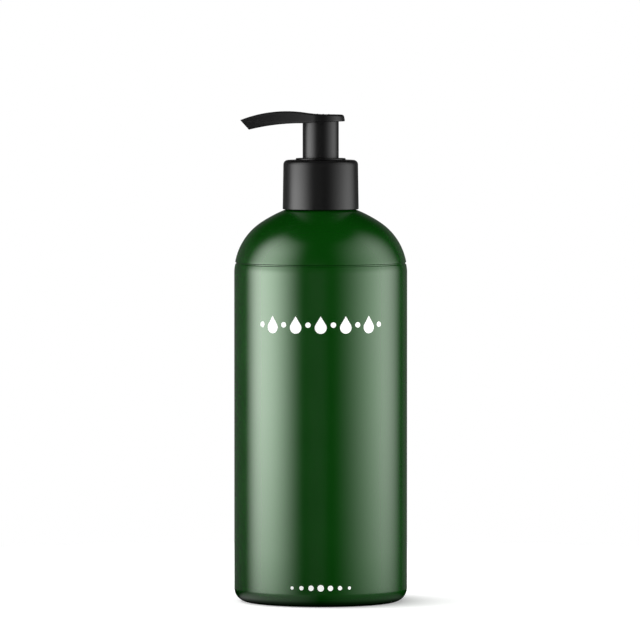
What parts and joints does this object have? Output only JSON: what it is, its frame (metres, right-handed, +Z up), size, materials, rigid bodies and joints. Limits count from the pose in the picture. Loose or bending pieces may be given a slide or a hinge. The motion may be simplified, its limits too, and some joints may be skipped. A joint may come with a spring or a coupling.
{
  "type": "dish soap pump bottle",
  "caption": "Refillable round soap bottle with a domed shoulder and a screw-on lotion pump whose head presses down and turns.",
  "frame": {"origin": "centre of the standing ring, on the surface that the bottle stands on", "axes": "+Z up along the bottle's axis; the front with the print faces -Y and the spout points along -X"},
  "size_m": [0.07, 0.0701, 0.1985],
  "materials": {
    "green_plastic": "satin, deep green, blow moulded",
    "white_ink": "screen printed white ink",
    "black_plastic": "satin, injection moulded",
    "natural_plastic": "natural, slightly milky",
    "soft_seal": "soft and matt",
    "steel": "bright stainless"
  },
  "bodies": {
    "bottle": {"bottle": "green_plastic", "front_print": "white_ink"},
    "pump": {"pump_housing": "natural_plastic", "retainer_ring": "black_plastic", "neck_gasket": "soft_seal", "dip_tube": "natural_plastic", "return_spring": "steel"},
    "collar": {"closure_collar": "black_plastic"},
    "plunger": {"piston_seal": "soft_seal"},
    "head": {"actuator_head": "black_plastic", "piston_stem": "natural_plastic", "piston_core": "natural_plastic"},
    "inlet_ball": {"inlet_ball": "steel"},
    "outlet_ball": {"outlet_ball": "steel"}
  },
  "joints": [
    {"name": "pump_lift", "type": "slide", "parent": "bottle", "child": "pump", "axis": [0, 0, 1], "range_m": [0, 0.00846]},
    {"name": "collar_turn", "type": "hinge", "parent": "pump", "child": "collar", "pos_m": [0, 0, 0.17], "axis": [0, 0, 1], "range_deg": [0, 720]},
    {"name": "press", "type": "slide", "parent": "pump", "child": "plunger", "axis": [0, 0, -1], "range_m": [0, 0.0138], "stiffness_N_per_m": 700, "springref_m": -0.007, "deforming": ["return_spring"]},
    {"name": "head_turn", "type": "hinge", "parent": "plunger", "child": "head", "pos_m": [0, 0, 0.18], "axis": [0, 0, 1], "continuous": true},
    {"name": "inlet_ball_lift", "type": "slide", "parent": "pump", "child": "inlet_ball", "axis": [0, 0, 1], "range_m": [0, 0.0012]},
    {"name": "outlet_ball_lift", "type": "slide", "parent": "head", "child": "outlet_ball", "axis": [0, 0, 1], "range_m": [0, 0.001]}
  ],
  "couplings": [
    {"joint": "collar_turn", "follows": "pump_lift", "rad_per_m": 1484.3}
  ]
}
